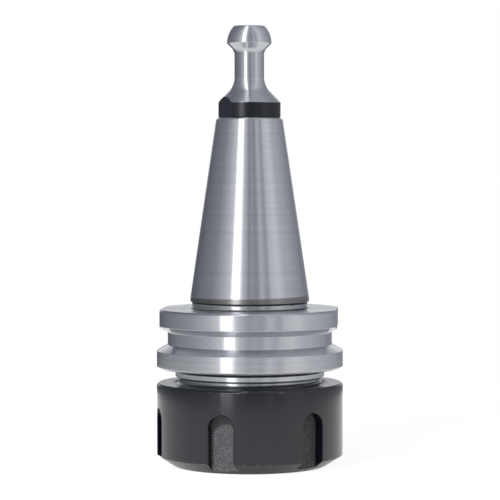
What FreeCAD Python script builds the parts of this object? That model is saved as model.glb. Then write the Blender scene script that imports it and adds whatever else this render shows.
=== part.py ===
import FreeCAD, Part
import math
import os

# Collet chuck holder for a machine spindle: a steep-taper holder that grips a tool's shank.
# Millimetres. +Z runs up the spindle axis from the tool side to the pull stud.
# The origin is the middle of the clamping nut's front face, on which the holder stands.
#
# Four pieces, each in its own file:
#   holder_body    taper, gripper flange and threaded nose, turned from one bar
#   pull_stud      screwed into the small end of the taper, pulled by the drawbar
#   collet         slit cone that closes on the tool's shank
#   clamping_nut   pushes the collet into its cone, and pulls it out again when it is undone

# ---------------------------------------------------------------- driving dimensions
# The flange and the nut are turned to one diameter, so the nut passes wherever the flange does.
outside_dia = 50.0

# Steep taper. The gauge plane is where the taper has its nominal diameter.
gauge_height = 45.3
gauge_dia = 31.75
taper_on_dia = 7 / 24
taper_length = 47.8
taper_end_chamfer = 0.4

# Below the gauge plane: a land that isn't ground, then a relief for the grinding wheel.
land_height = 1.3
land_dia = 31.9
relief_dia = 31.0
relief_fillet = 0.3

# Gripper flange. Heights are measured down from the gauge plane.
flange_top_drop = 3.2
flange_bottom_drop = 19.1
flange_chamfer = 0.5
flange_lower_chamfer = 0.5
groove_centre_drop = 11.1
groove_depth = 2.95
groove_floor_width = 3.35
groove_flank_angle = 30.0
ring_flat_depth = 1.6
ring_flat_turn = -4.3

# Nose: undercut, then the nut's thread, drawn at its outside diameter.
thread_dia = 40.0
undercut_dia = 38.4
undercut_width = 1.0
nose_end_height = 8.3
nose_end_chamfer = 1.0

# Inside the holder, above the collet's cone.
back_bore_dia = 21.0
back_bore_height = 60.0
stud_drill_dia = 10.2
drill_point_angle = 118.0
tap_spare_depth = 2.0

# Pull stud. Heights are measured up from its seat on the small end of the taper.
stud_collar_dia = 17.2
stud_collar_height = 4.1
stud_collar_edge = 0.3
stud_flat_across = 14.0
stud_flat_turn = 21.0
stud_neck_dia = 8.0
stud_neck_flare = 5.5
stud_throat = 2.6
stud_head_dia = 12.0
stud_head_height = 20.0
stud_crown_radius = 6.8
stud_crown_height = 4.6
stud_pilot_dia = 13.0
stud_pilot_length = 5.5
stud_thread_dia = 12.0
stud_thread_length = 18.0
stud_thread_chamfer = 1.0

# Clamping nut.
nut_height = 22.2
nut_top_chamfer = 0.6
nut_front_chamfer_height = 2.8
nut_front_chamfer_width = 4.5
nut_lead_in = 1.0
nut_step_gap = 0.5
nut_recess_dia = 34.0
spanner_slots = 6
spanner_slot_width = 7.0
spanner_slot_length = 15.7
spanner_slot_floor_wall = 1.86
spanner_slot_turn = 12.0
extractor_height = 1.75
extractor_dia = 29.8
extractor_offset = 0.9

# Collet: back cone of 8 degrees and front cone of 30 degrees, each to the axis.
tool_dia = 16.0
collet_length = 40.0
collet_big_dia = 33.0
collet_back_angle = 8.0
collet_front_angle = 30.0
collet_face_height = 0.5
collet_face_dia = 27.2
collet_ring_height = 2.7
collet_groove_width = 2.2
collet_groove_dia = 27.4
collet_bore_chamfer = 0.5
collet_back_chamfer = 0.8
collet_slots = 8
collet_slot_width = 1.0
collet_front_web = 8.0
collet_back_web = 6.0

# Fits, each a gap measured on the radius.
thread_clearance = 0.04
cone_clearance = 0.04
stud_pilot_clearance = 0.02
groove_clearance = 0.2

# ---------------------------------------------------------------- what follows from them
Vector = FreeCAD.Vector
Z_AXIS = Vector(0, 0, 1)

taper_top = gauge_height + taper_length
flange_top = gauge_height - flange_top_drop
flange_bottom = gauge_height - flange_bottom_drop
undercut_bottom = flange_bottom - undercut_width

stud_pilot_bottom = taper_top - stud_pilot_length
stud_tip = stud_pilot_bottom - stud_thread_length

cone_slope = math.tan(math.radians(collet_back_angle))
front_slope = math.tan(math.radians(collet_front_angle))
collet_back_height = collet_face_height + collet_length
collet_big_height = collet_face_height + (collet_big_dia - collet_face_dia) / 2 / front_slope


def collet_cone_radius(height):
    """Radius of the collet's long back cone at a height."""
    return collet_big_dia / 2 - (height - collet_big_height) * cone_slope


def collet_face_cone_radius(height):
    """Radius of the collet's short front cone at a height."""
    return collet_face_dia / 2 + (height - collet_face_height) * front_slope


# ---------------------------------------------------------------- helpers
def half_section(*steps):
    """Closed face beside the Z axis, drawn from corner to corner.

    A step is (radius, height). A third value rounds that corner. Two more values instead
    are a point (radius, height) that an arc passes through on its way to the step.
    """
    corners = [Vector(step[0], 0, step[1]) for step in steps]
    arrive = list(corners)
    leave = list(corners)
    rounding = {}
    for i, step in enumerate(steps):
        if len(step) == 3:
            back = (corners[i - 1] - corners[i]).normalize()
            ahead = (corners[(i + 1) % len(corners)] - corners[i]).normalize()
            half_angle = back.getAngle(ahead) / 2
            arrive[i] = corners[i] + back * (step[2] / math.tan(half_angle))
            leave[i] = corners[i] + ahead * (step[2] / math.tan(half_angle))
            inward = (back + ahead).normalize() * (step[2] / math.sin(half_angle) - step[2])
            rounding[i] = Part.Arc(arrive[i], corners[i] + inward, leave[i]).toShape()
    edges = []
    for i, step in enumerate(steps):
        if len(step) == 4:
            through = Vector(step[2], 0, step[3])
            edges.append(Part.Arc(leave[i - 1], through, arrive[i]).toShape())
        else:
            edges.append(Part.LineSegment(leave[i - 1], arrive[i]).toShape())
        if i in rounding:
            edges.append(rounding[i])
    return Part.Face(Part.Wire(edges))


def turned(*steps):
    """Solid of revolution about the Z axis from a half-section."""
    return half_section(*steps).revolve(Vector(0, 0, 0), Z_AXIS, 360)


def turned_about_z(shape, angle):
    """Copy of a shape turned about the Z axis, anticlockwise seen from above."""
    copy = shape.copy()
    copy.rotate(Vector(0, 0, 0), Z_AXIS, angle)
    return copy


def two_flats(across, reach, bottom, top, turn):
    """The two blocks that mill a pair of opposite flats, their faces square to X before the turn."""
    depth = reach - across / 2
    block = Part.makeBox(depth, 2 * reach, top - bottom, Vector(across / 2, -reach, bottom))
    return [turned_about_z(block, turn), turned_about_z(block, turn + 180)]


# ---------------------------------------------------------------- holder body
def holder_body():
    """Taper, flange and nose in one piece, bored for the collet and tapped for the stud."""
    r_gauge = gauge_dia / 2
    r_small_end = r_gauge - taper_length * taper_on_dia / 2
    chamfer_inset = taper_end_chamfer * (1 - taper_on_dia / 2)
    r_land = land_dia / 2
    r_relief = relief_dia / 2
    r_flange = outside_dia / 2
    r_floor = r_flange - groove_depth
    r_undercut = undercut_dia / 2
    r_thread = thread_dia / 2

    groove_centre = gauge_height - groove_centre_drop
    floor_half = groove_floor_width / 2
    flank_rise = groove_depth * math.tan(math.radians(groove_flank_angle))
    land_bottom = gauge_height - land_height

    outside = [
        (r_small_end - chamfer_inset, taper_top),
        (r_small_end + taper_end_chamfer * taper_on_dia / 2, taper_top - taper_end_chamfer),
        (r_gauge, gauge_height),
        (r_land, gauge_height),
        (r_land, land_bottom),
        (r_relief, land_bottom, relief_fillet),
        (r_relief, flange_top, relief_fillet),
        (r_flange - flange_chamfer, flange_top),
        (r_flange, flange_top - flange_chamfer),
        (r_flange, groove_centre + floor_half + flank_rise),
        (r_floor, groove_centre + floor_half),
        (r_floor, groove_centre - floor_half),
        (r_flange, groove_centre - floor_half - flank_rise),
        (r_flange, flange_bottom + flange_lower_chamfer),
        (r_flange - flange_lower_chamfer, flange_bottom),
        (r_undercut, flange_bottom),
        (r_undercut, undercut_bottom),
        (r_thread, undercut_bottom),
        (r_thread, nose_end_height + nose_end_chamfer),
        (r_thread - nose_end_chamfer, nose_end_height),
    ]
    seat_gap = cone_clearance / math.cos(math.radians(collet_back_angle))
    cone_top = collet_back_height + collet_back_chamfer
    r_back_bore = back_bore_dia / 2
    r_drill = stud_drill_dia / 2
    r_tap = stud_thread_dia / 2 + thread_clearance
    r_pilot = stud_pilot_dia / 2 + stud_pilot_clearance
    drill_point = (r_back_bore - r_drill) / math.tan(math.radians(drill_point_angle / 2))
    tap_bottom = stud_tip - tap_spare_depth
    inside = [
        (collet_cone_radius(nose_end_height) + seat_gap, nose_end_height),
        (collet_cone_radius(cone_top) + seat_gap, cone_top),
        (r_back_bore, cone_top),
        (r_back_bore, back_bore_height),
        (r_drill, back_bore_height + drill_point),
        (r_drill, tap_bottom),
        (r_tap, tap_bottom),
        (r_tap, stud_pilot_bottom),
        (r_pilot, stud_pilot_bottom),
        (r_pilot, taper_top),
    ]
    body = turned(*outside, *inside)
    ring_bottom = groove_centre + floor_half
    flats = two_flats(outside_dia - 2 * ring_flat_depth, outside_dia, ring_bottom, flange_top,
                      ring_flat_turn)
    for block in flats:
        body = body.cut(block)
    return body


# ---------------------------------------------------------------- pull stud
def pull_stud():
    """Screw with a pilot, a collar that seats on the taper's end, and the head the drawbar grips."""
    r_thread = stud_thread_dia / 2
    r_pilot = stud_pilot_dia / 2
    r_collar = stud_collar_dia / 2
    r_neck = stud_neck_dia / 2
    r_head = stud_head_dia / 2
    collar_top = taper_top + stud_collar_height
    flare_corner = collar_top + r_collar - r_neck
    head_widest = taper_top + stud_head_height

    def crown_radius(height):
        """Radius of the domed head at a height above its widest level."""
        return r_head - stud_crown_radius + math.sqrt(stud_crown_radius ** 2 - height ** 2)

    stud = turned(
        (0, stud_tip),
        (r_thread - stud_thread_chamfer, stud_tip),
        (r_thread, stud_tip + stud_thread_chamfer),
        (r_thread, stud_pilot_bottom),
        (r_pilot, stud_pilot_bottom),
        (r_pilot, taper_top),
        (r_collar - stud_collar_edge, taper_top),
        (r_collar, taper_top + stud_collar_edge),
        (r_collar, collar_top),
        (r_neck, flare_corner, stud_neck_flare),
        (r_neck, head_widest - (r_head - r_neck), stud_throat),
        (r_head, head_widest),
        (crown_radius(stud_crown_height), head_widest + stud_crown_height,
         crown_radius(stud_crown_height / 2), head_widest + stud_crown_height / 2),
        (0, head_widest + stud_crown_height),
    )
    for block in two_flats(stud_flat_across, stud_collar_dia, taper_top, flare_corner, stud_flat_turn):
        stud = stud.cut(block)
    return stud


# ---------------------------------------------------------------- collet
def collet():
    """Double cone, slit in turn from the front and from the back so that it closes evenly."""
    r_bore = tool_dia / 2
    groove_bottom = collet_face_height + collet_ring_height
    groove_top = groove_bottom + collet_groove_width
    r_back = collet_cone_radius(collet_back_height)
    chamfer_start = collet_back_height - collet_back_chamfer
    sleeve = turned(
        (r_bore + collet_bore_chamfer, collet_face_height),
        (collet_face_dia / 2, collet_face_height),
        (collet_face_cone_radius(groove_bottom), groove_bottom),
        (collet_groove_dia / 2, groove_bottom),
        (collet_groove_dia / 2, groove_top),
        (collet_face_cone_radius(groove_top), groove_top),
        (collet_big_dia / 2, collet_big_height),
        (collet_cone_radius(chamfer_start), chamfer_start),
        (r_back - collet_back_chamfer, collet_back_height),
        (r_bore, collet_back_height),
        (r_bore, collet_face_height + collet_bore_chamfer),
    )
    front_slit = Part.makeBox(
        collet_big_dia, collet_slot_width, collet_length - collet_back_web,
        Vector(0, -collet_slot_width / 2, collet_face_height))
    back_slit = Part.makeBox(
        collet_big_dia, collet_slot_width, collet_length - collet_front_web,
        Vector(0, -collet_slot_width / 2, collet_face_height + collet_front_web))
    step = 360 / collet_slots
    for i in range(collet_slots):
        sleeve = sleeve.cut(turned_about_z(front_slit, i * step))
        sleeve = sleeve.cut(turned_about_z(back_slit, (i + 0.5) * step))
    return sleeve


# ---------------------------------------------------------------- clamping nut
def spanner_slot():
    """Cutter for one slot, on +X: open at the nut's front face and round at the other end."""
    r_floor = thread_dia / 2 + thread_clearance + spanner_slot_floor_wall
    half_width = spanner_slot_width / 2
    round_height = spanner_slot_length - half_width
    below = nut_front_chamfer_height
    straight = Part.makeBox(
        outside_dia, spanner_slot_width, round_height + below, Vector(r_floor, -half_width, -below))
    round_end = Part.makeCylinder(
        half_width, outside_dia, Vector(r_floor, 0, round_height), Vector(1, 0, 0))
    return straight.fuse(round_end)


def clamping_nut():
    """Nut with a front cone for the collet and an off-centre ring that draws the collet out."""
    r_nut = outside_dia / 2
    r_thread = thread_dia / 2 + thread_clearance
    r_ring = extractor_dia / 2
    seat_gap = cone_clearance / math.cos(math.radians(collet_front_angle))
    ring_bottom = collet_face_height + collet_ring_height + groove_clearance
    ring_top = ring_bottom + extractor_height
    step_height = nose_end_height - nut_step_gap
    nut = turned(
        (collet_face_cone_radius(0) + seat_gap, 0),
        (r_nut - nut_front_chamfer_width, 0),
        (r_nut, nut_front_chamfer_height),
        (r_nut, nut_height - nut_top_chamfer),
        (r_nut - nut_top_chamfer, nut_height),
        (r_thread + nut_lead_in, nut_height),
        (r_thread, nut_height - nut_lead_in),
        (r_thread, step_height),
        (nut_recess_dia / 2, step_height),
        (nut_recess_dia / 2, ring_top),
        (r_ring - extractor_offset, ring_top),
        (r_ring - extractor_offset, ring_bottom),
        (collet_face_cone_radius(ring_bottom) + seat_gap, ring_bottom),
    )
    off_centre = Vector(extractor_offset, 0, ring_bottom)
    nut = nut.cut(Part.makeCylinder(r_ring, extractor_height, off_centre))
    for i in range(spanner_slots):
        nut = nut.cut(turned_about_z(spanner_slot(), spanner_slot_turn + i * 360 / spanner_slots))
    return nut


# ---------------------------------------------------------------- the four files
os.makedirs("parts", exist_ok=True)
for piece in (holder_body, pull_stud, collet, clamping_nut):
    solid = piece()
    solid.exportStep("parts/" + piece.__name__ + ".step")
    print(piece.__name__, "solids", len(solid.Solids), "valid", solid.isValid(),
          "volume", round(solid.Volume, 1), "height", round(solid.BoundBox.ZMax, 2))
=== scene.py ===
# %% [markdown]
# # A collet chuck holder
# This lesson dresses a machine tool's collet chuck holder: a steep steel taper with a grooved flange,
# a pull stud on top and a black clamping nut below. Every piece is turned on a lathe, so most of its
# looks come from two things: a true half-section, and light that runs in long streaks down polished,
# ring-marked steel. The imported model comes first, because it fixes where each piece is and which body
# it moves with.

# %% Load the frame
import math

import bmesh
import bpy
import numpy as np
from mathutils import Matrix, Vector


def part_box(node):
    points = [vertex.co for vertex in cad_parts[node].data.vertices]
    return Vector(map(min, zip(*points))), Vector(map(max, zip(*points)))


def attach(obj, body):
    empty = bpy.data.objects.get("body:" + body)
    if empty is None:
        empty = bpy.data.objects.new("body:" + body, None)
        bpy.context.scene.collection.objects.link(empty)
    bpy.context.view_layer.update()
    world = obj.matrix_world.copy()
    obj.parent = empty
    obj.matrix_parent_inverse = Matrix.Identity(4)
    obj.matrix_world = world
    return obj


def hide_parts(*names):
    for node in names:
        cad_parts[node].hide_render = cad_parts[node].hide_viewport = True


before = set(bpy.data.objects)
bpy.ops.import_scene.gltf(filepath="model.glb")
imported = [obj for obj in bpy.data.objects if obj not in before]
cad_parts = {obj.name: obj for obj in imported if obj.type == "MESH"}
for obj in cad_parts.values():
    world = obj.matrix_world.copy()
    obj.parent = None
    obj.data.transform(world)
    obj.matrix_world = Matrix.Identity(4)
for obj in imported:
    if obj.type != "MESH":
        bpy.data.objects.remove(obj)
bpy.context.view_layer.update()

# %% [markdown]
# ## Sizes
# A turned part is written in millimetres, as on its workshop drawing, and becomes metres only when its
# mesh is made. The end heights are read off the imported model, so the pieces land on it exactly. The
# other numbers repeat the drawing.

# %% Heights and diameters
MM = 0.001


def node_span(node):
    """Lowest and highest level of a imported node, in millimetres."""
    low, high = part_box(node)
    return low.z / MM, high.z / MM


nose_end, taper_top = node_span("holder_body")
nut_bottom, nut_top = node_span("clamping_nut")
stud_tip, stud_top = node_span("pull_stud")
outside_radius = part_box("clamping_nut")[1].y / MM

TAPER_LENGTH = 47.8
gauge = taper_top - TAPER_LENGTH
gauge_radius = 31.75 / 2
taper_slope = 7 / 48
flange_top = gauge - 3.2
groove_centre = gauge - 11.1
flange_bottom = gauge - 19.1
print("outside radius", round(outside_radius, 3), "gauge plane", round(gauge, 2))

# %% [markdown]
# ## A lathe for half-sections
# Turned work could be made with the Screw or Spin tool, but those guess the shading from the faces.
# Here the half-section is kept as strips, each with the direction that its surface really faces. They
# run down the outside, in under the piece, up its bore and out over its top. Every corner has a small
# rounding, as a real edge has after deburring: it is what catches the light.

# %% Half-sections with rounded corners
def facing(start, end):
    """Outward direction of a strip, for a half-section traced down the outside."""
    along = (end - start).normalized()
    return Vector((-along.y, along.x))


def rounded(corner, before, after, rounding):
    """The arc strips at a corner, and the points where it leaves the two straight runs."""
    back, ahead = (before - corner).normalized(), (after - corner).normalized()
    run = rounding / math.tan(back.angle(ahead) / 2)
    n_in, n_out = facing(before, corner), facing(corner, after)
    start = math.atan2(n_in.y, n_in.x)
    turn = (math.atan2(n_out.y, n_out.x) - start + math.pi) % (2 * math.pi) - math.pi
    reach = rounding if turn < 0 else -rounding
    centre = corner + back * run - n_in * reach
    steps = max(3, math.ceil(abs(turn) / math.radians(4 if rounding > 1 else 18)))
    fan = [Vector((math.cos(start + turn * k / steps), math.sin(start + turn * k / steps)))
           for k in range(steps + 1)]
    arc = [(centre + a * reach, centre + b * reach, a, b, float(turn < 0 and rounding < 1))
           for a, b in zip(fan, fan[1:])]
    return corner + back * run, arc, corner + ahead * run


def half_section(*corners):
    """Strips (start, end, start normal, end normal, edge mark) from corners (radius, height, rounding);
    the edge mark stands for wear and a painted edge highlight.
    """
    points = [Vector(corner[:2]) for corner in corners]
    count = len(points)
    arrive, leave, arcs = list(points), list(points), {}
    for i, corner in enumerate(corners):
        if len(corner) > 2 and corner[2] > 0:
            arrive[i], arcs[i], leave[i] = rounded(
                points[i], points[i - 1], points[(i + 1) % count], corner[2])
    strips = []
    for i in range(count):
        start, end = leave[i - 1], arrive[i]
        if (end - start).length > 1e-6 and (start.x > 1e-6 or end.x > 1e-6):
            n_start = n_end = facing(start, end)
            if len(corners[i - 1]) > 2 and corners[i - 1][2] < 0:
                n_start = (n_start + facing(points[i - 2], points[i - 1])).normalized()
            if len(corners[i]) > 2 and corners[i][2] < 0:
                n_end = (n_end + facing(points[i], points[(i + 1) % count])).normalized()
            strips.append((start, end, n_start, n_end, 0.0))
        strips += arcs.get(i, [])
    return strips


def turned_mesh(name, strips, segments):
    """Closed mesh of revolution, with one ring of points where two strips meet."""
    verts, rings, faces = [], [], []
    for start, _, _, _, _ in strips:
        if start.x < 1e-6:
            rings.append([len(verts)] * (segments + 1))
            verts.append((0, 0, start.y * MM))
            continue
        first = len(verts)
        rings.append([first + k % segments for k in range(segments + 1)])
        for k in range(segments):
            turn = 2 * math.pi * k / segments
            verts.append((start.x * math.cos(turn) * MM, start.x * math.sin(turn) * MM, start.y * MM))
    if strips[-1][1].x < 1e-6:
        rings.append([len(verts)] * (segments + 1))
        verts.append((0, 0, strips[-1][1].y * MM))
    else:
        rings.append(rings[0])
    for upper, lower in zip(rings, rings[1:]):
        for k in range(segments):
            corner_ids = [upper[k], lower[k], lower[k + 1], upper[k + 1]]
            faces.append(list(dict.fromkeys(corner_ids)))
    mesh = bpy.data.meshes.new(name)
    mesh.from_pydata(verts, [], faces)
    return mesh


def new_piece(name, mesh):
    """Put a mesh into the scene as an object of the same name."""
    piece = bpy.data.objects.new(name, mesh)
    bpy.context.scene.collection.objects.link(piece)
    return piece


print("lathe ready")

# %% [markdown]
# ## Milling cuts
# Flats and spanner slots are milled into the turned pieces, so they are Boolean differences with a
# cutter mesh. A Boolean leaves the turned faces with guessed shading, so each corner then gets its
# true direction back from the half-section. Only milled faces keep their own. The same pass marks the
# rounded corners in an attribute named edge, which the finishes use for worn edges and, on bright steel,
# a painted edge highlight.

# %% Cutting, then true shading
def milled(piece, *cutters):
    """Cut the cutters' shapes out of a piece and delete them."""
    for cutter in cutters:
        cut = piece.modifiers.new("cut", "BOOLEAN")
        cut.operation = "DIFFERENCE"
        cut.solver = "EXACT"
        cut.object = cutter
    bpy.context.view_layer.update()
    done = piece.evaluated_get(bpy.context.evaluated_depsgraph_get())
    piece.data = bpy.data.meshes.new_from_object(done)
    piece.modifiers.clear()
    for cutter in cutters:
        bpy.data.objects.remove(cutter)
    return piece


def cutter_piece(name, verts, faces, turn):
    """A closed cutter, its faces set to point outwards, turned about Z."""
    mesh = bpy.data.meshes.new(name)
    mesh.from_pydata(verts, [], faces)
    mesh.transform(Matrix.Rotation(math.radians(turn), 4, "Z"))
    edit = bmesh.new()
    edit.from_mesh(mesh)
    bmesh.ops.recalc_face_normals(edit, faces=edit.faces)
    edit.to_mesh(mesh)
    edit.free()
    return new_piece(name, mesh)


def block_cutter(name, low, high, turn):
    """A block between two corners, in millimetres, turned about Z."""
    xs, ys, zs = zip(low, high)
    verts = [Vector((x, y, z)) * MM for x in xs for y in ys for z in zs]
    faces = [(0, 1, 3, 2), (4, 6, 7, 5), (0, 4, 5, 1), (2, 3, 7, 6), (0, 2, 6, 4), (1, 5, 7, 3)]
    return cutter_piece(name, verts, faces, turn)


def true_shading(piece, strips):
    """Give turned faces their exact normals, smooth the milled ones, and return which are turned."""
    mesh = piece.data
    mesh.shade_smooth()
    starts = np.array([s[0] for s in strips])
    spans = np.array([s[1] - s[0] for s in strips])
    chord = np.array([facing(s[0], s[1]) for s in strips])
    n_start, n_end = np.array([s[2] for s in strips]), np.array([s[3] for s in strips])
    edge_wear_and_highlight_amount = np.array([s[4] for s in strips])
    points = np.empty(len(mesh.vertices) * 3)
    mesh.vertices.foreach_get("co", points)
    points = points.reshape(-1, 3) / MM
    radius, height = np.hypot(points[:, 0], points[:, 1]), points[:, 2]
    normals = [None] * len(mesh.loops)
    edge = np.zeros(len(mesh.loops))
    turned = np.zeros(len(mesh.polygons), bool)
    around = {}
    for face in mesh.polygons:
        ids = np.array(face.vertices)
        n, c = face.normal, face.center
        level = math.hypot(c.x, c.y) or 1e-9
        flat = np.array([(n.x * c.x + n.y * c.y) / level, n.z])
        rz = np.stack([radius[ids], height[ids]], 1)
        along = np.clip(((rz[:, None] - starts) * spans).sum(2) / (spans ** 2).sum(1), 0, 1)
        off = np.linalg.norm(rz[:, None] - starts - along[:, :, None] * spans, axis=2).max(0)
        score = off + 0.5 * (1 - chord @ flat)
        best = int(score.argmin())
        if off[best] < 0.006 and chord[best] @ flat > 0.9985:
            turned[face.index] = True
            for k, loop in enumerate(face.loop_indices):
                t = along[k, best]
                nr, nz = n_start[best] * (1 - t) + n_end[best] * t
                x, y, _ = points[ids[k]]
                r = radius[ids[k]]
                out = (x / r, y / r) if r > 1e-6 else (c.x / level, c.y / level)
                if r > 1e-6:
                    normals[loop] = Vector((out[0] * nr, out[1] * nr, nz)).normalized()
                else:
                    normals[loop] = Vector((0, 0, nz))
                edge[loop] = edge_wear_and_highlight_amount[best]
        else:
            for vertex in face.vertices:
                around.setdefault(vertex, []).append(n.copy())
    for face in mesh.polygons:
        if not turned[face.index]:
            for loop, vertex in zip(face.loop_indices, face.vertices):
                near = [n for n in around[vertex] if n.dot(face.normal) > 0.82]
                normals[loop] = sum(near, Vector()).normalized()
    mesh.normals_split_custom_set([tuple(n) for n in normals])
    mark = mesh.attributes.new("edge", "FLOAT", "CORNER")
    mark.data.foreach_set("value", edge)
    print(piece.name, len(mesh.polygons), "faces,", int((~turned).sum()), "of them milled")
    return turned


# %% [markdown]
# ## The holder body
# Taper, flange and nose are one piece. Below the taper is a land that the grinding wheel leaves alone,
# then a relief where the wheel runs out. The flange has a V groove for the tool changer's gripper, and
# two flats on its upper ring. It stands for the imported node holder_body, whose bore it repeats, so
# that it is right from below too.

# %% Turn the holder body
GROOVE_DEPTH = 2.95
GROOVE_HALF = 3.35 / 2
RING_CHAMFER = 0.5
LAND_HEIGHT = 1.3
FLAT_OUT = 23.4
FLAT_TURN = -4.3
BACK_BORE = 10.5
groove_flank = GROOVE_DEPTH * math.tan(math.radians(30))
groove_floor = outside_radius - GROOVE_DEPTH
groove_top, groove_low = groove_centre + GROOVE_HALF, groove_centre - GROOVE_HALF
cone_gap = 0.04 / math.cos(math.radians(8))
collet_wide = 0.5 + (33.0 - 27.2) / 2 / math.tan(math.radians(30))


def cone_radius(height):
    """Radius of the collet's long cone at a height."""
    return 16.5 - (height - collet_wide) * math.tan(math.radians(8))


thread_start = 24.0
core_radius = 19.08
cone_end = 41.3
drill_radius = 5.1
small_end = gauge_radius - TAPER_LENGTH * taper_slope
holder_section = half_section(
    (small_end - 0.34, taper_top, 0.06),
    (small_end + 0.4 * taper_slope, taper_top - 0.4, 0.06),
    (gauge_radius, gauge + 0.06, 0.05),
    (15.95, gauge, 0.05),
    (15.95, gauge - LAND_HEIGHT, 0.08),
    (15.5, gauge - LAND_HEIGHT, 0.2),
    (15.5, flange_top, 0.3),
    (outside_radius - RING_CHAMFER, flange_top, 0.12),
    (outside_radius, flange_top - RING_CHAMFER, 0.12),
    (outside_radius, groove_top + groove_flank, 0.1),
    (groove_floor, groove_top, 0.15),
    (groove_floor, groove_low, 0.15),
    (outside_radius, groove_low - groove_flank, 0.1),
    (outside_radius, flange_bottom + RING_CHAMFER, 0.12),
    (outside_radius - RING_CHAMFER, flange_bottom, 0.12),
    (19.2, flange_bottom, 0.2),
    (19.2, flange_bottom - 1.0, 0.15),
    (20.0, flange_bottom - 1.0, 0.08),
    (20.0, thread_start, 0.06),
    (core_radius, thread_start - 0.53, 0.1),
    (core_radius, nose_end + 0.1, 0.05),
    (core_radius - 0.1, nose_end, 0.05),
    (cone_radius(nose_end) + cone_gap, nose_end, 0.1),
    (cone_radius(cone_end) + cone_gap, cone_end),
    (BACK_BORE, cone_end),
    (BACK_BORE, 60.0),
    (drill_radius, 60.0 + (BACK_BORE - drill_radius) / math.tan(math.radians(59))),
    (drill_radius, stud_tip - 2.0),
    (6.04, stud_tip - 2.0),
    (6.04, taper_top - 5.5),
    (6.52, taper_top - 5.5),
    (6.52, taper_top, 0.05),
)
holder = new_piece("holder_turned", turned_mesh("holder_turned", holder_section, 384))
holder = milled(holder, *[
    block_cutter(name, (FLAT_OUT, -30, groove_top), (30, 30, flange_top + 1), turn)
    for name, turn in (("flat_a", FLAT_TURN), ("flat_b", FLAT_TURN + 180))
])
holder_is_turned = true_shading(holder, holder_section)

# %% [markdown]
# ## The nose thread
# The nut's thread is M40 x 1.5. A bump map would look flat where the crests meet the light, so it is
# real: one ridge with 60 degree flanks, swept along a helix round the core. It fades in under the
# plain band, and the nose's chamfer cuts it back at the other end.

# %% Sweep the thread ridge
PITCH = 1.5
UPPER_FLANK = (
    (-0.4, 0.7), (-0.02, 0.74), (0.02, 0.62), (0.1, 0.54), (0.8, 0.14), (0.87, 0.09), (0.92, 0.05))
RIDGE = UPPER_FLANK + tuple((rise, -across) for rise, across in reversed(UPPER_FLANK))
TURN_STEPS = 192


def thread_mesh(name, top, bottom, phase):
    """Helical ridge from a level down to another; it keeps inside the nose's end chamfer."""
    steps = int((top - bottom + 0.8) / PITCH * TURN_STEPS)
    verts, faces = [], []
    for k in range(steps + 1):
        turn = phase - 2 * math.pi * k / TURN_STEPS
        middle = top - PITCH * k / TURN_STEPS
        grown = min(1.0, k / (TURN_STEPS * 0.35))
        grown = grown * grown * (3 - 2 * grown)
        for rise, across in RIDGE:
            z = max(middle + across * (0.4 + 0.6 * grown), bottom + 0.002)
            r = core_radius + (rise * grown if rise > 0 else rise)
            r = min(r, core_radius - 0.08 + (z - bottom))
            verts.append((r * math.cos(turn) * MM, r * math.sin(turn) * MM, z * MM))
    size = len(RIDGE)
    for k in range(steps):
        for i in range(size):
            j = (i + 1) % size
            faces.append((k * size + i, (k + 1) * size + i, (k + 1) * size + j, k * size + j))
    faces.append(tuple(range(size)))
    faces.append(tuple(reversed(range(steps * size, steps * size + size))))
    mesh = bpy.data.meshes.new(name)
    mesh.from_pydata(verts, [], faces)
    edit = bmesh.new()
    edit.from_mesh(mesh)
    bmesh.ops.remove_doubles(edit, verts=edit.verts, dist=0.000002)
    bmesh.ops.recalc_face_normals(edit, faces=edit.faces)
    edit.to_mesh(mesh)
    edit.free()
    return mesh


thread = new_piece("nose_thread", thread_mesh("nose_thread", thread_start - 1.15, nose_end, 1.0))
thread.data.shade_smooth()
thread.data.set_sharp_from_angle(angle=math.radians(50))
print("thread", len(thread.data.polygons), "faces")

# %% [markdown]
# ## The pull stud
# The drawbar pulls on this small head. Its neck runs into the collar with a wide flare, and under the
# head with a tighter throat. Large fillets get a strip every four degrees, so the highlight bends
# smoothly, and the crown is an arc of short strips with shared directions. The collar has two flats for
# a spanner.

# %% Turn the pull stud
collar_top = taper_top + 4.1
COLLAR_RADIUS, NECK_RADIUS, HEAD_RADIUS = 8.6, 4.0, 6.0
CROWN_RADIUS, CROWN_HEIGHT, CROWN_STEPS = 6.8, 4.6, 12
flare_corner = collar_top + COLLAR_RADIUS - NECK_RADIUS
widest = taper_top + 20.0
crown = []
for k in range(CROWN_STEPS + 1):
    rise = math.asin(CROWN_HEIGHT / CROWN_RADIUS) * (CROWN_STEPS - k) / CROWN_STEPS
    out = HEAD_RADIUS - CROWN_RADIUS + CROWN_RADIUS * math.cos(rise)
    crown.append((out, widest + CROWN_RADIUS * math.sin(rise), -1 if 0 < k < CROWN_STEPS else 0.12))
crown[0] = (crown[0][0], crown[0][1], 0.18)
stud_section = half_section(
    *crown,
    (NECK_RADIUS, widest - 2.0, 2.6),
    (NECK_RADIUS, flare_corner, 5.5),
    (COLLAR_RADIUS, collar_top, 0.08),
    (COLLAR_RADIUS, taper_top + 0.3, 0.08),
    (8.3, taper_top, 0.08),
    (6.5, taper_top),
    (6.5, taper_top - 5.5),
    (6.0, taper_top - 5.5),
    (6.0, stud_tip + 1.0),
    (5.0, stud_tip),
    (0.0, stud_tip),
    (0.0, widest + CROWN_HEIGHT),
)
first = next(i for i, s in enumerate(stud_section) if s[0].x < 1e-6)
stud_section = stud_section[first:] + stud_section[:first]
stud = new_piece("pull_stud_turned", turned_mesh("pull_stud_turned", stud_section, 256))
stud = milled(stud, *[
    block_cutter(name, (7.0, -12, taper_top - 0.01), (12, 12, flare_corner), turn)
    for name, turn in (("flat_c", 21), ("flat_d", 201))
])
stud_is_turned = true_shading(stud, stud_section)

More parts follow.
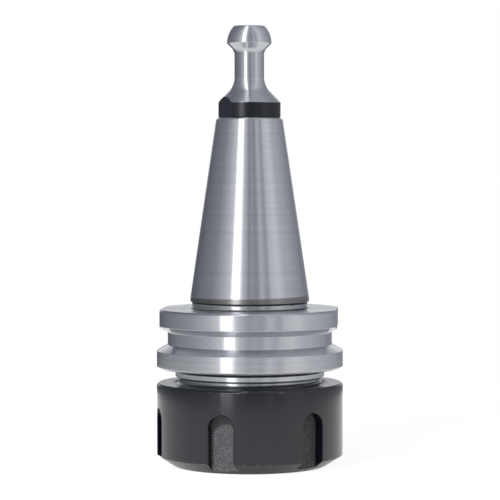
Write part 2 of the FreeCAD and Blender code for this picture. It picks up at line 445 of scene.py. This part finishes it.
# %% [markdown]
# ## The clamping nut
# The nut is turned, blackened and slotted for a spanner. Each slot is open at the front face and round
# at its other end. Its cutter follows the nut's outside and flares where it leaves it, which gives the
# slot's rim an even chamfer all the way round, also where it runs over the front chamfer.

# %% Turn and slot the nut
FRONT_HEIGHT, FRONT_WIDTH = 2.8, 4.5
THREAD_BORE = 20.04
RECESS = 17.0
EXTRACTOR_LIP = 14.9 - 0.9
SLOT_TURNS = [12 + 60 * k for k in range(6)]
SLOT_FLOOR = 21.9
SLOT_HALF = 3.5
SLOT_ROUND = 15.7 - SLOT_HALF
RIM = 0.2


def nut_radius(height):
    """Outside radius of the nut at a height: the front chamfer, then the cylinder."""
    return outside_radius - FRONT_WIDTH * max(0.0, FRONT_HEIGHT - height) / FRONT_HEIGHT


def slot_outline(spread):
    """Points (across, height) round a slot, spread outwards by a distance."""
    half = SLOT_HALF + spread
    heights = [-3.0, -1.0, 0.0, 0.5, 1.0, 1.5, 2.0, 2.4, 2.7, 2.9, 3.3, 4.0, 6.0, 8.0, 10.0]
    arch = [math.pi - math.pi * k / 40 for k in range(41)]
    return ([(-half, z) for z in heights]
            + [(half * math.cos(a), SLOT_ROUND + half * math.sin(a)) for a in arch]
            + [(half, z) for z in reversed(heights)])


def slot_cutter(turn):
    """Cutter for one slot, turned to its place."""
    rings = []
    for spread, lift, far in ((0, None, 0), (0, -RIM, 0), (RIM + 0.06, 0.06, 0), (1.6, None, 28.0)):
        ring = []
        for (across, z), (plain, _) in zip(slot_outline(spread), slot_outline(0)):
            if lift is None:
                x = far or SLOT_FLOOR
            else:
                x = math.sqrt((nut_radius(z) + lift) ** 2 - across ** 2)
                x = max(x, SLOT_FLOOR + 0.01 if lift < 0 else SLOT_FLOOR + 0.02)
            ring.append(Vector((x, across, z)) * MM)
        rings.append(ring)
    size = len(rings[0])
    verts = [v for ring in rings for v in ring]
    faces = [tuple(reversed(range(size))), tuple(range(3 * size, 4 * size))]
    for k in range(3):
        for i in range(size):
            j = (i + 1) % size
            faces.append((k * size + i, k * size + j, (k + 1) * size + j, (k + 1) * size + i))
    return cutter_piece("slot", verts, faces, turn)


seat_gap = 0.04 / math.cos(math.radians(30))
face_slope = math.tan(math.radians(30))
ring_bottom = 0.5 + 2.7 + 0.2
nut_section = half_section(
    (THREAD_BORE + 1.0, nut_top, 0.1),
    (outside_radius - 0.6, nut_top, 0.2),
    (outside_radius, nut_top - 0.6, 0.35),
    (outside_radius, FRONT_HEIGHT, 0.3),
    (outside_radius - FRONT_WIDTH, nut_bottom, 0.2),
    (13.6 - 0.5 * face_slope + seat_gap, nut_bottom, 0.1),
    (13.6 + (ring_bottom - 0.5) * face_slope + seat_gap, ring_bottom),
    (EXTRACTOR_LIP, ring_bottom),
    (EXTRACTOR_LIP, ring_bottom + 1.75),
    (RECESS, ring_bottom + 1.75),
    (RECESS, nose_end - 0.5),
    (THREAD_BORE, nose_end - 0.5),
    (THREAD_BORE, nut_top - 1.0),
)
nut = new_piece("clamping_nut_turned", turned_mesh("clamping_nut_turned", nut_section, 384))
nut = milled(nut, *[slot_cutter(turn) for turn in SLOT_TURNS])
nut_is_turned = true_shading(nut, nut_section)

# %% [markdown]
# ## Shader building blocks
# Materials are node trees. Two short helpers keep them readable: one adds a node and fills or links its
# sockets, the other does a sum. Effects that several finishes share become node groups with named
# sockets. They put out only masks and noise values, and each finish decides what to do with them.

# %% Node helpers
def add(tree, kind, sockets=None, **settings):
    """Add a node, change its settings, and fill or link its input sockets."""
    made = tree.nodes.new(kind)
    for name, value in settings.items():
        setattr(made, name, value)
    for key, value in (sockets or {}).items():
        if isinstance(value, bpy.types.NodeSocket):
            tree.links.new(value, made.inputs[key])
        else:
            made.inputs[key].default_value = value
    return made


def sum_of(tree, operation, *values):
    """Output of a Math node on sockets or numbers."""
    return add(tree, "ShaderNodeMath", dict(enumerate(values)), operation=operation).outputs[0]


def new_group(name, inputs, outputs):
    """Empty node group with number inputs and number outputs, and its two end nodes."""
    group = bpy.data.node_groups.new(name, "ShaderNodeTree")
    for label, value in inputs.items():
        socket = group.interface.new_socket(label, in_out="INPUT", socket_type="NodeSocketFloat")
        socket.default_value = value
    for label in outputs:
        group.interface.new_socket(label, in_out="OUTPUT", socket_type="NodeSocketFloat")
    return group, group.nodes.new("NodeGroupInput"), group.nodes.new("NodeGroupOutput")


def place(tree, group, **sockets):
    """Put a group into a material and set its inputs; an underscore stands for a space."""
    filled = {label.replace("_", " "): value for label, value in sockets.items()}
    return add(tree, "ShaderNodeGroup", filled, node_tree=group).outputs


def axis_coordinates(tree):
    """Object coordinates, the distance from the spindle axis and the height, in millimetres."""
    spot = add(tree, "ShaderNodeTexCoord").outputs["Object"]
    apart = add(tree, "ShaderNodeSeparateXYZ", {0: spot}).outputs
    out = sum_of(tree, "POWER", sum_of(
        tree, "ADD", sum_of(tree, "MULTIPLY", apart[0], apart[0]),
        sum_of(tree, "MULTIPLY", apart[1], apart[1])), 0.5)
    return spot, apart, sum_of(tree, "DIVIDE", out, MM), sum_of(tree, "DIVIDE", apart[2], MM)


print("helpers ready")

# %% [markdown]
# ## Ring marks
# A turning tool or a grinding wheel leaves fine marks that run round the piece. Noise that is squeezed
# along the section and hardly changes around it gives them. Height plus radius is the coordinate: it
# changes across cylinders, cones and faces alike, so one group serves them all, with no seam.

# %% Group: ring marks
ring_marks, given, out = new_group(
    "ring_marks", {"Marks per mm": 6.0, "Wander": 12.0}, ["Fine", "Bands"])
spot, apart, radius_mm, height_mm = axis_coordinates(ring_marks)
along = sum_of(ring_marks, "ADD", radius_mm, height_mm)
for label, factor, detail in (("Fine", 1.0, 2.0), ("Bands", 0.11, 3.0)):
    across = sum_of(ring_marks, "MULTIPLY", given.outputs["Wander"], factor)
    place_3d = add(ring_marks, "ShaderNodeCombineXYZ", {
        0: sum_of(ring_marks, "MULTIPLY", apart[0], across),
        1: sum_of(ring_marks, "MULTIPLY", apart[1], across),
        2: sum_of(ring_marks, "MULTIPLY", sum_of(
            ring_marks, "MULTIPLY", along, given.outputs["Marks per mm"]), factor)}).outputs[0]
    noise = add(ring_marks, "ShaderNodeTexNoise", {"Vector": place_3d, "Scale": 1.0, "Detail": detail})
    ring_marks.links.new(noise.outputs[0], out.inputs[label])
print(ring_marks.name, [s.name for s in out.inputs if s.name])

# %% [markdown]
# ## Worn edges and painted edge highlight
# Handling rubs a finish off its corners first. On bright steel the lighter edge colour is also a painted
# highlight along the rounded edges. The edge attribute is 1 on the rounded corners, and noise breaks the
# line up, so it is never an even stripe.

# %% Group: edge wear and painted highlight
edge_wear_and_highlight, given, out = new_group(
    "edge_wear_and_highlight", {"Edge": 0.0, "Amount": 0.5, "Patch size mm": 1.5}, ["Mask"])
spot = add(edge_wear_and_highlight, "ShaderNodeTexCoord").outputs["Object"]
patches = add(edge_wear_and_highlight, "ShaderNodeTexNoise", {
    "Vector": spot, "Detail": 3.0,
    "Scale": sum_of(edge_wear_and_highlight, "DIVIDE", 1 / MM, given.outputs["Patch size mm"])}).outputs[0]
level = sum_of(edge_wear_and_highlight, "SUBTRACT", 1.0, given.outputs["Amount"])
patchy = add(edge_wear_and_highlight, "ShaderNodeMapRange", {
    "Value": patches, "From Min": sum_of(edge_wear_and_highlight, "SUBTRACT", level, 0.2),
    "From Max": sum_of(edge_wear_and_highlight, "ADD", level, 0.2)}).outputs[0]
edge_wear_and_highlight.links.new(sum_of(edge_wear_and_highlight, "MULTIPLY", patchy, given.outputs["Edge"]), out.inputs["Mask"])

# %% [markdown]
# ## Painted corner shade
# Painted shade darkens the steel in the corners that the flange and the land shade: the undercut above
# the thread, under the land, and where the relief meets the flange. A band round the axis, inside a
# radius, fades out above and below its level.

# %% Group: painted corner shade
painted_corner_shade, given, out = new_group(
    "painted_corner_shade", {"Level mm": 0.0, "Reach mm": 1.0, "Inside radius mm": 50.0}, ["Mask"])
spot, apart, radius_mm, height_mm = axis_coordinates(painted_corner_shade)
off = sum_of(painted_corner_shade, "ABSOLUTE", sum_of(
    painted_corner_shade, "SUBTRACT", height_mm, given.outputs["Level mm"]))
smear = add(painted_corner_shade, "ShaderNodeTexNoise", {
    "Vector": spot, "Scale": 350.0, "Detail": 2.0}).outputs[0]
reach = sum_of(painted_corner_shade, "MULTIPLY", given.outputs["Reach mm"], sum_of(
    painted_corner_shade, "ADD", smear, 0.5))
near = add(painted_corner_shade, "ShaderNodeMapRange", {
    "Value": off, "From Min": reach, "From Max": sum_of(painted_corner_shade, "MULTIPLY", reach, 0.55)},
    interpolation_type="SMOOTHSTEP").outputs[0]
inside = sum_of(painted_corner_shade, "LESS_THAN", radius_mm, given.outputs["Inside radius mm"])
painted_corner_shade.links.new(sum_of(painted_corner_shade, "MULTIPLY", near, inside), out.inputs["Mask"])
print("groups", [g.name for g in bpy.data.node_groups])

# %% [markdown]
# ## Bright steel
# Marks that run round the axis make steel shine differently in its two directions: reflections stay
# crisp around the piece, and are drawn out along it. That is anisotropy. Its tangent runs round Z, and a
# quarter turn puts the long side of the highlight along the axis. Every bright surface shares this
# recipe, with its own marks and its own painted shade in corners.

# %% A recipe for bright steel
STEEL = (0.55, 0.56, 0.585, 1.0)
# The next colour is painted shade, for the shaded corners of bright steel.
PAINTED_SHADE_DARK = (0.028, 0.027, 0.028, 1.0)
UNGROUND = (0.30, 0.29, 0.28, 1.0)
# The next colour lightens the rounded edges of bright steel: wear, and a painted edge highlight.
WORN_EDGE_AND_HIGHLIGHT = (0.75, 0.76, 0.78, 1.0)
# The thread's darker steel is painted shade, for a thread that sits between the flange and the black nut.
SHADED_THREAD_STEEL = (0.23, 0.235, 0.25, 1.0)
COLLET_STEEL = (0.50, 0.51, 0.54, 1.0)


def mixed(tree, mask, below, above, blend="MIX"):
    """Colour output of a Mix node: below where the mask is 0, above where it is 1."""
    mix = add(tree, "ShaderNodeMix", data_type="RGBA", blend_type=blend)
    for key, value in ((0, mask), (6, below), (7, above)):
        if isinstance(value, bpy.types.NodeSocket):
            tree.links.new(value, mix.inputs[key])
        else:
            mix.inputs[key].default_value = value
    return mix.outputs[2]


def new_finish(name):
    """Empty material with a Principled shader, its tree and that shader."""
    material = bpy.data.materials.new(name)
    material.use_nodes = True
    return material, material.node_tree, material.node_tree.nodes["Principled BSDF"]


def bright_steel(name, marks, roughness, stretch, colour=STEEL, corners=(), land=None):
    """Turned or ground steel: marks per mm, roughness, how drawn out, its painted corner shade and its
    land.
    """
    material, tree, shader = new_finish(name)
    rings = place(tree, ring_marks, Marks_per_mm=marks)
    shade = add(tree, "ShaderNodeMapRange", {
        "Value": rings["Bands"], "From Min": 0.3, "From Max": 0.7,
        "To Min": 0.93, "To Max": 1.03}).outputs[0]
    base = mixed(tree, 1.0, colour, shade, "MULTIPLY")
    rough = add(tree, "ShaderNodeMapRange", {
        "Value": rings["Fine"], "From Min": 0.3, "From Max": 0.7,
        "To Min": roughness - 0.02, "To Max": roughness + 0.03}).outputs[0]
    metal = 1.0
    if land:
        _, apart, radius_mm, height_mm = axis_coordinates(tree)
        tilted = sum_of(tree, "MULTIPLY_ADD", apart[0], 14.0, land[1])
        top = sum_of(tree, "LESS_THAN", height_mm, tilted)
        bottom = sum_of(tree, "GREATER_THAN", height_mm, land[0])
        band = sum_of(tree, "MULTIPLY", top, bottom)
        base = mixed(tree, band, base, UNGROUND)
        rough = sum_of(tree, "MULTIPLY_ADD", band, 0.10, rough)
    # Painted shade: each band darkens the steel in a corner that the flange or the land shades.
    for level, reach, inside in corners:
        painted_shade_mask = place(tree, painted_corner_shade, Level_mm=level, Reach_mm=reach, Inside_radius_mm=inside)["Mask"]
        base = mixed(tree, painted_shade_mask, base, PAINTED_SHADE_DARK)
        metal = sum_of(tree, "MULTIPLY_ADD", painted_shade_mask, -0.8, metal)
        rough = sum_of(tree, "MULTIPLY_ADD", painted_shade_mask, 0.25, rough)
    # The lighter steel on the rounded edges is partly wear and partly a painted highlight.
    edge = add(tree, "ShaderNodeAttribute", attribute_name="edge").outputs["Fac"]
    edge_wear_and_highlight_mask = place(tree, edge_wear_and_highlight, Edge=edge, Amount=0.6)["Mask"]
    base = mixed(tree, sum_of(tree, "MULTIPLY", edge_wear_and_highlight_mask, 0.5), base, WORN_EDGE_AND_HIGHLIGHT)
    bump = add(tree, "ShaderNodeBump", {
        "Height": rings["Fine"], "Strength": 0.4, "Distance": 0.000004}).outputs[0]
    tangent = add(tree, "ShaderNodeTangent", direction_type="RADIAL", axis="Z").outputs[0]
    for key, value in (("Base Color", base), ("Metallic", metal), ("Roughness", rough),
                       ("Normal", bump), ("Tangent", tangent)):
        if isinstance(value, bpy.types.NodeSocket):
            tree.links.new(value, shader.inputs[key])
        else:
            shader.inputs[key].default_value = value
    shader.inputs["Anisotropic"].default_value = stretch
    shader.inputs["Anisotropic Rotation"].default_value = 0.25
    return material


# The three corner bands are painted shade: under the flange, under the land, and where the relief meets
# the flange.
body_steel = bright_steel(
    "body_steel", 7.0, 0.22, 0.95,
    land=(gauge - 1.35, gauge + 0.08),
    corners=((flange_bottom - 0.5, 0.75, 19.8), (gauge - 1.5, 0.45, 15.7),
             (flange_top + 0.1, 0.35, 15.9)))
# The thread is the holder's own steel, darkened here as painted shade.
thread_steel_shaded = bright_steel("thread_steel_shaded", 10.0, 0.26, 0.7, colour=SHADED_THREAD_STEEL)
stud_bright = bright_steel("stud_bright", 9.0, 0.22, 0.95)
collet_steel = bright_steel("collet_steel", 12.0, 0.2, 0.8, colour=COLLET_STEEL)

# %% [markdown]
# ## Black oxide
# The nut and the stud's collar are blackened: a thin dark oxide film, sealed with oil. It isn't a
# metal's shine any more. A dark base under a clear, slightly soft reflection gives it, and it turns
# paler at a grazing angle, as every film does. A cloudy pattern keeps the film from looking painted.

# %% A recipe for black oxide
FILM = (0.0006, 0.0012, 0.0032, 1.0)
FILM_PALE = (0.0016, 0.0022, 0.0048, 1.0)
BARE = (0.20, 0.205, 0.22, 1.0)


def black_oxide(name, marks, roughness, stretch, edge_wear_and_highlight_amount, shine):
    """Blackened steel with faint turning marks and rubbed edges."""
    material, tree, shader = new_finish(name)
    rings = place(tree, ring_marks, Marks_per_mm=marks)
    spot = add(tree, "ShaderNodeTexCoord").outputs["Object"]
    cloud = add(tree, "ShaderNodeTexNoise", {"Vector": spot, "Scale": 160.0, "Detail": 5.0}).outputs[0]
    grain = add(tree, "ShaderNodeTexNoise", {"Vector": spot, "Scale": 2600.0, "Detail": 2.0}).outputs[0]
    cloudy = add(tree, "ShaderNodeMapRange", {
        "Value": cloud, "From Min": 0.35, "From Max": 0.7, "To Min": 0.0, "To Max": 0.7}).outputs[0]
    base = mixed(tree, cloudy, FILM, FILM_PALE)
    edge = add(tree, "ShaderNodeAttribute", attribute_name="edge").outputs["Fac"]
    edge_wear_and_highlight_mask = place(tree, edge_wear_and_highlight, Edge=edge, Amount=edge_wear_and_highlight_amount)["Mask"]
    base = mixed(tree, edge_wear_and_highlight_mask, base, BARE)
    rough = add(tree, "ShaderNodeMapRange", {
        "Value": grain, "From Min": 0.3, "From Max": 0.7,
        "To Min": roughness - 0.03, "To Max": roughness + 0.03}).outputs[0]
    height = sum_of(tree, "MULTIPLY_ADD", grain, 0.5, rings["Fine"])
    bump = add(tree, "ShaderNodeBump", {
        "Height": height, "Strength": 0.3, "Distance": 0.000003}).outputs[0]
    tangent = add(tree, "ShaderNodeTangent", direction_type="RADIAL", axis="Z").outputs[0]
    for key, value in (("Base Color", base), ("Metallic", sum_of(tree, "MULTIPLY", edge_wear_and_highlight_mask, 0.8)),
                       ("Roughness", rough), ("Normal", bump), ("Tangent", tangent)):
        tree.links.new(value, shader.inputs[key])
    shader.inputs["IOR"].default_value = shine
    shader.inputs["Anisotropic"].default_value = stretch
    shader.inputs["Anisotropic Rotation"].default_value = 0.25
    return material


nut_black = black_oxide("nut_black", 4.0, 0.13, 0.0, 0.22, 1.56)
# The front chamfer's copy of the finish reflects less: painted shade on the chamfer that faces down to the
# white table.
nut_front_shaded_black = black_oxide("nut_front_shaded_black", 4.0, 0.25, 0.0, 0.3, 1.26)
stud_black = black_oxide("stud_black", 8.0, 0.24, 0.3, 0.3, 1.5)

# %% [markdown]
# ## Milled slot floors
# The end mill leaves the slot floors rougher than the turned outside, with a speckled grain where the
# film is thin. They shine grey when they face the light and stay black otherwise.

# %% Slot floor finish
slot_floor, tree, shader = new_finish("slot_floor")
spot = add(tree, "ShaderNodeTexCoord").outputs["Object"]
speck = add(tree, "ShaderNodeTexNoise", {"Vector": spot, "Scale": 2600.0, "Detail": 3.0}).outputs[0]
thin = add(tree, "ShaderNodeMapRange", {"Value": speck, "From Min": 0.42, "From Max": 0.62}).outputs[0]
speckled = mixed(tree, thin, (0.04, 0.04, 0.042, 1.0), (0.083, 0.082, 0.086, 1.0))
tree.links.new(speckled, shader.inputs["Base Color"])
tree.links.new(sum_of(tree, "MULTIPLY", thin, 0.1), shader.inputs["Metallic"])
bump = add(tree, "ShaderNodeBump", {"Height": speck, "Strength": 0.5, "Distance": 0.00002}).outputs[0]
tree.links.new(bump, shader.inputs["Normal"])
shader.inputs["Roughness"].default_value = 0.6
shader.inputs["IOR"].default_value = 1.2

# %% [markdown]
# ## Dressing the pieces
# The stud is bright except for its blackened collar and flats, and the nut's slot floors take the milled
# finish, so those faces get a second material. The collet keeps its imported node, because its ground
# cones and sixteen slits are already right there, and only takes a better steel.

# %% Materials on faces
holder.data.materials.append(body_steel)
thread.data.materials.append(thread_steel_shaded)
stud.data.materials.append(stud_bright)
stud.data.materials.append(stud_black)
for face in stud.data.polygons:
    on_collar = taper_top * MM < face.center.z < (collar_top - 0.05) * MM
    face.material_index = int(on_collar or not stud_is_turned[face.index])
nut.data.materials.append(nut_black)
nut.data.materials.append(slot_floor)
nut.data.materials.append(nut_front_shaded_black)
for face in nut.data.polygons:
    if nut_is_turned[face.index]:
        # Turned faces on the front chamfer take the dimmer copy, which paints shade there.
        face.material_index = 2 if face.center.z < (FRONT_HEIGHT - 0.05) * MM else 0
    else:
        c = face.center / MM
        deep = [abs(c.x * math.cos(a) + c.y * math.sin(a) - SLOT_FLOOR) < 0.01
                for a in (math.radians(turn) for turn in SLOT_TURNS)]
        face.material_index = int(any(deep))
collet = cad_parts["collet"]
collet.data.materials.clear()
collet.data.materials.append(collet_steel)
for piece in (holder, thread, stud, nut):
    print(piece.name, [m.name for m in piece.data.materials])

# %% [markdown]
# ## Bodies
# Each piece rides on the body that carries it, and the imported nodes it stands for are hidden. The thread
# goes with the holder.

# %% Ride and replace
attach(holder, "holder")
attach(thread, "holder")
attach(stud, "holder")
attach(nut, "nut")
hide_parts("holder_body")
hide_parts("pull_stud")
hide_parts("clamping_nut")

# %% [markdown]
# ## A light tent
# Polished round steel shows its surroundings, squeezed into upright streaks. So the studio is a tall
# cylinder of cloth, brighter and darker round its wall: one bright strip on the left makes the long
# highlight, and narrow dark gaps in front make the fine lines beside it. Lamps alone would leave the
# steel black between them. The wall's brightness is an attribute on its mesh, column by column. Rings of
# radius and height close it into a dome. Low down it is a little darker, and high up behind the holder
# it is pale, which lights the flange's flat top while the steel's outlines stay dark.

# %% The tent wall
TENT_RINGS = (
    (1.3, -0.45), (1.3, 0.1), (1.3, 0.17), (1.3, 1.3), (1.05, 1.9), (0.55, 2.3), (0.02, 2.4))
TENT = (
    (-180, 0.3), (-165, 0.22), (-150, 0.2), (-140, 0.21), (-120, 0.27), (-100, 0.32), (-80, 0.38),
    (-70, 0.5), (-60, 0.62), (-50, 0.79), (-42, 0.95), (-36, 1.15), (-35, 3.6), (-22.5, 3.6), (-20, 1.5),
    (-16, 0.95), (-12, 0.7), (-8, 0.69), (-4, 0.45), (0, 0.34), (4, 0.54), (8, 0.45), (12, 0.4),
    (16, 0.38), (20, 0.57), (24, 0.74), (28, 0.66), (32, 0.55), (36, 0.43), (40, 0.58), (44, 0.79),
    (50, 0.83), (56, 0.89), (60, 0.96), (70, 0.8), (80, 0.66), (90, 0.64), (100, 0.57), (110, 0.52),
    (120, 0.45), (130, 0.41), (140, 0.32), (150, 0.35), (165, 0.35), (180, 0.3),
)
COLUMNS = 720
angles = np.array([-180 + 360 * k / COLUMNS for k in range(COLUMNS)])
wall = np.interp(angles, [a for a, _ in TENT], [v for _, v in TENT])
behind = np.clip((np.abs(angles) - 154) / 12, 0, 1)
low_part = np.interp(angles, (-180, -60, -40, 0, 20, 180), (0.64, 0.64, 0.78, 0.7, 0.86, 0.84))
verts, colours = [], []
for radius, z in TENT_RINGS:
    glow = wall * (low_part if z < 0.15 else 1.0) + behind * (z > 0.15) * (0.9 - wall)
    cool = np.clip((0.75 - glow) / 0.6, 0, 1)[:, None]
    tint = (1 - cool) * np.array([0.985, 1.0, 1.025]) + cool * np.array([0.93, 0.985, 1.14])
    verts += [(radius * math.sin(a), -radius * math.cos(a), z) for a in np.radians(angles)]
    colours.append(np.hstack((glow[:, None] * tint, np.ones((COLUMNS, 1)))))
faces = [(row + k, row + COLUMNS + k, row + COLUMNS + (k + 1) % COLUMNS, row + (k + 1) % COLUMNS)
         for row in range(0, COLUMNS * (len(TENT_RINGS) - 1), COLUMNS) for k in range(COLUMNS)]
tent_mesh = bpy.data.meshes.new("light_tent")
tent_mesh.from_pydata(verts, [], faces)
glow_data = tent_mesh.attributes.new("glow", "FLOAT_COLOR", "POINT").data
glow_data.foreach_set("color", np.concatenate(colours).ravel())
tent = new_piece("light_tent", tent_mesh)
tent.visible_camera = False
tent_glow = bpy.data.materials.new("tent_glow")
tent_glow.use_nodes = True
tree = tent_glow.node_tree
tree.nodes.clear()
cloth = add(tree, "ShaderNodeAttribute", attribute_name="glow").outputs["Color"]
light = add(tree, "ShaderNodeEmission", {"Color": cloth, "Strength": 1.0}).outputs[0]
add(tree, "ShaderNodeOutputMaterial", {"Surface": light})
tent_mesh.materials.append(tent_glow)
print("tent wall, mean brightness", round(float(wall.mean()), 3))

# %% [markdown]
# ## Floor and background
# The holder stands on a small white table in a white room. The room is the world, at strength 1. The
# table mixes a plain white surface, which takes the shadow, with a plain white glow towards the camera
# and in reflections, so its rim doesn't show.

# %% Table
bpy.ops.mesh.primitive_circle_add(
    vertices=96, radius=0.2, fill_type="NGON", location=(0, 0, (nut_bottom - 0.02) * MM))
table = bpy.context.object
table.name = "table"
table_white = bpy.data.materials.new("table_white")
table_white.use_nodes = True
tree = table_white.node_tree
tree.nodes.clear()
path = add(tree, "ShaderNodeLightPath").outputs
seen = sum_of(tree, "MAXIMUM", sum_of(tree, "MAXIMUM", path["Is Camera Ray"], path["Is Glossy Ray"]),
              path["Is Transmission Ray"])
matt = add(tree, "ShaderNodeBsdfDiffuse", {"Color": (0.85, 0.85, 0.86, 1.0)}).outputs[0]
glowing = add(tree, "ShaderNodeEmission", {"Strength": 1.04}).outputs[0]
surface = add(tree, "ShaderNodeMixShader", {0: sum_of(tree, "MULTIPLY", seen, 0.9), 1: matt, 2: glowing})
add(tree, "ShaderNodeOutputMaterial", {"Surface": surface.outputs[0]})
table.data.materials.append(table_white)

# %% [markdown]
# ## Lamp and room
# The tent does nearly all the lighting. One small lamp, up on the left, is left out of reflections: it
# lights the matt slot floors, and puts the shadow of each slot's round end on them. The room is plain
# white.

# %% Lamp and world
key = bpy.data.objects.new("key", bpy.data.lights.new("key", "AREA"))
bpy.context.scene.collection.objects.link(key)
key.data.size = 0.06
key.data.energy = 12.0
key.location = (-0.34, -0.59, 0.60)
key.rotation_euler = (Vector((0, 0, 0.01)) - key.location).to_track_quat("-Z", "Y").to_euler()
key.visible_glossy = False

world = bpy.data.worlds.new("studio")
bpy.context.scene.world = world
world.use_nodes = True
backdrop = world.node_tree.nodes["Background"]
backdrop.inputs["Color"].default_value = (1.0, 1.0, 1.0, 1.0)
backdrop.inputs["Strength"].default_value = 1.0

# %% [markdown]
# ## The camera
# A long lens from a little above the middle keeps the taper's sides straight and shows only a sliver of
# the flange's top. It leans over by a tenth of a degree.

# %% Camera
camera = bpy.data.objects.new("camera", bpy.data.cameras.new("camera"))
bpy.context.scene.collection.objects.link(camera)
camera.data.sensor_width = 36
camera.data.lens = 160.95
camera.location = (0.00014, -0.600, 0.0803)
camera.rotation_euler = (math.radians(90 - 2.155), math.radians(0.1), 0)
bpy.context.scene.camera = camera
bpy.context.scene.view_settings.view_transform = "Standard"
